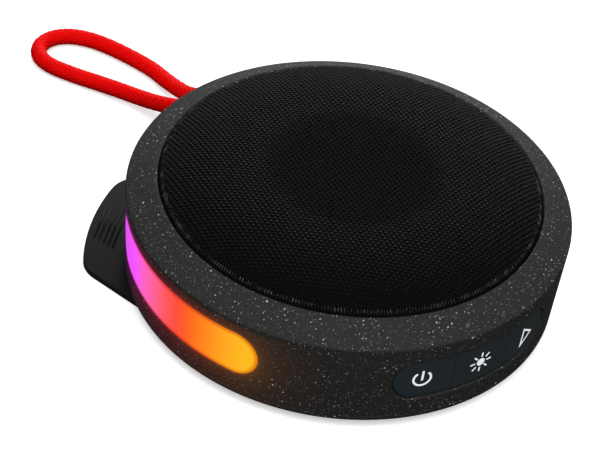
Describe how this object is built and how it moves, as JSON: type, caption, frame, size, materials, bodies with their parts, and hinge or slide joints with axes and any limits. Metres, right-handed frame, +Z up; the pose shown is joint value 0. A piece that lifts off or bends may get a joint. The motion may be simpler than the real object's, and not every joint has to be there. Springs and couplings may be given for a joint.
{
  "type": "shower speaker",
  "caption": "Round puck speaker with a domed cloth grille, side lights, three side keys, a cord carrying loop and a suction cup with a pull tab.",
  "frame": {"origin": "on the speaker's axis, at the flat surface that the suction cup's lip rests on", "axes": "+Z up through the cloth grille, -Y towards the three keys, +Y towards the carrying loop, +X to the right"},
  "size_m": [0.1098, 0.1733, 0.0363],
  "materials": {
    "speckled_shell": "dark grey recycled plastic, matt, with small white flecks",
    "black_cloth": "black woven acoustic cloth, slight sheen",
    "key_silicone": "blue-black silicone, matt, with white printed symbols",
    "lit_lens": "frosted lens lit from violet through red to amber",
    "cup_rubber": "black soft rubber, satin",
    "red_cord": "bright red braided cord",
    "black_plastic": "black moulded plastic",
    "soft_seal": "dark grey elastomer",
    "steel": "zinc plated steel",
    "ferrite": "sintered ferrite",
    "copper": "enamelled copper winding",
    "paper_cone": "coated paper, matt",
    "spider_cloth": "resin treated cloth",
    "circuit_board": "green solder mask",
    "battery_wrap": "grey-blue shrink wrap",
    "foam": "black foam",
    "lead_sheath": "red insulated lead"
  },
  "bodies": {
    "housing": {"front_housing": "speckled_shell", "rear_cover": "speckled_shell", "grille_cloth": "black_cloth", "light_lens_left": "lit_lens", "light_lens_right": "lit_lens", "strap_bushing": "cup_rubber", "strap": "red_cord", "grille_plate": "black_plastic", "driver_basket": "black_plastic", "keypad_frame": "black_plastic", "switch_power": "black_plastic", "switch_light": "black_plastic", "switch_play": "black_plastic", "radio_chip": "black_plastic", "amplifier_chip": "black_plastic", "strap_clamp": "black_plastic", "case_seal": "soft_seal", "driver_gasket": "soft_seal", "driver_surround": "soft_seal", "stud_seal": "soft_seal", "case_screw_1": "steel", "case_screw_2": "steel", "case_screw_3": "steel", "case_screw_4": "steel", "driver_screw_1": "steel", "driver_screw_2": "steel", "driver_screw_3": "steel", "driver_screw_4": "steel", "board_screw_1": "steel", "board_screw_2": "steel", "driver_yoke": "steel", "driver_top_plate": "steel", "usb_socket": "steel", "driver_magnet": "ferrite", "driver_spider": "spider_cloth", "main_board": "circuit_board", "switch_board": "circuit_board", "usb_board": "circuit_board", "led_strip_left": "circuit_board", "led_strip_right": "circuit_board", "battery": "battery_wrap", "battery_pad": "foam", "battery_lead": "lead_sheath", "driver_lead": "lead_sheath"},
    "power_key": {"key_power": "key_silicone", "plunger_power": "black_plastic"},
    "light_key": {"key_light": "key_silicone", "plunger_light": "black_plastic"},
    "play_key": {"key_play": "key_silicone", "plunger_play": "black_plastic"},
    "cone": {"driver_cone": "paper_cone", "driver_dust_cap": "paper_cone", "voice_coil": "copper"},
    "port_flap": {"port_cover": "cup_rubber"},
    "cup": {"suction_cup": "cup_rubber", "cup_stud": "steel", "cup_retainer": "steel"}
  },
  "joints": [
    {"name": "power_key_press", "type": "slide", "parent": "housing", "child": "power_key", "axis": [0.29, 0.957, 0], "range_m": [0, 0.0005], "stiffness_N_per_m": 1200},
    {"name": "light_key_press", "type": "slide", "parent": "housing", "child": "light_key", "axis": [0, 1, 0], "range_m": [0, 0.0005], "stiffness_N_per_m": 1200},
    {"name": "play_key_press", "type": "slide", "parent": "housing", "child": "play_key", "axis": [-0.29, 0.957, 0], "range_m": [0, 0.0005], "stiffness_N_per_m": 1200},
    {"name": "cone_travel", "type": "slide", "parent": "housing", "child": "cone", "axis": [0, 0, 1], "range_m": [-0.001, 0.001], "stiffness_N_per_m": 1500, "deforming": ["driver_surround", "driver_spider"]},
    {"name": "port_flap_hinge", "type": "hinge", "parent": "housing", "child": "port_flap", "pos_m": [0.03395, 0.04246, 0.015], "axis": [0, 0, -1], "range_deg": [0, 110]},
    {"name": "cup_turn", "type": "hinge", "parent": "housing", "child": "cup", "pos_m": [0, 0, 0.006], "axis": [0, 0, 1], "continuous": true}
  ]
}
